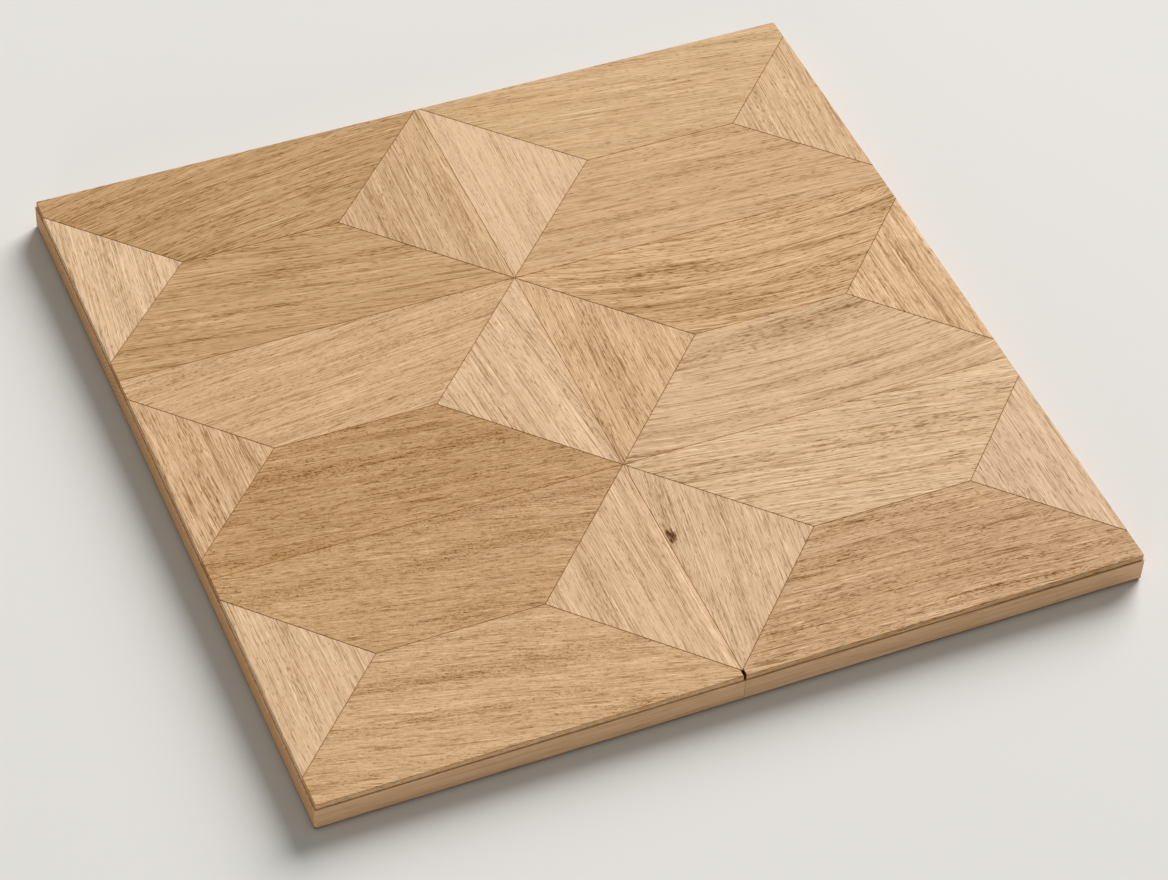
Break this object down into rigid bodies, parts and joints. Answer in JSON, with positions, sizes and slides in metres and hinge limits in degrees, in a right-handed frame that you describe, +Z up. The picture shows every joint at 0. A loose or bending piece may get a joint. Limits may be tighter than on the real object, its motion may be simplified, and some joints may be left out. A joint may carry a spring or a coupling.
{
  "type": "parquet block",
  "caption": "Square engineered parquet block: a wearing layer of mitred oak boards, triangles and split squares on a butt-jointed wooden base that stands slightly proud.",
  "frame": {"origin": "middle of the underside", "axes": "+X along the front edge to the right, +Y from the front edge to the back edge, +Z up through the thickness"},
  "size_m": [0.5, 0.5, 0.02],
  "materials": {
    "oak_light": "matt oak, straw coloured",
    "oak_medium": "matt oak, medium tan",
    "oak_dark": "matt oak, tan-brown with dark grain",
    "base": "planed oak, unfinished"
  },
  "bodies": {
    "root": {"base_left": "base", "base_right": "base", "board_left_1": "oak_medium", "board_left_2": "oak_medium", "board_left_3": "oak_dark", "board_left_4": "oak_light", "board_left_5": "oak_medium", "board_left_6": "oak_dark", "board_right_1": "oak_dark", "board_right_2": "oak_light", "board_right_3": "oak_light", "board_right_4": "oak_dark", "board_right_5": "oak_medium", "board_right_6": "oak_light", "edge_triangle_left_1": "oak_light", "edge_triangle_left_2": "oak_light", "edge_triangle_left_3": "oak_light", "edge_triangle_right_1": "oak_light", "edge_triangle_right_2": "oak_light", "edge_triangle_right_3": "oak_light", "middle_triangle_left_1": "oak_light", "middle_triangle_left_2": "oak_light", "middle_triangle_left_3": "oak_light", "middle_triangle_right_1": "oak_light", "middle_triangle_right_2": "oak_light", "middle_triangle_right_3": "oak_light"}
  },
  "joints": []
}
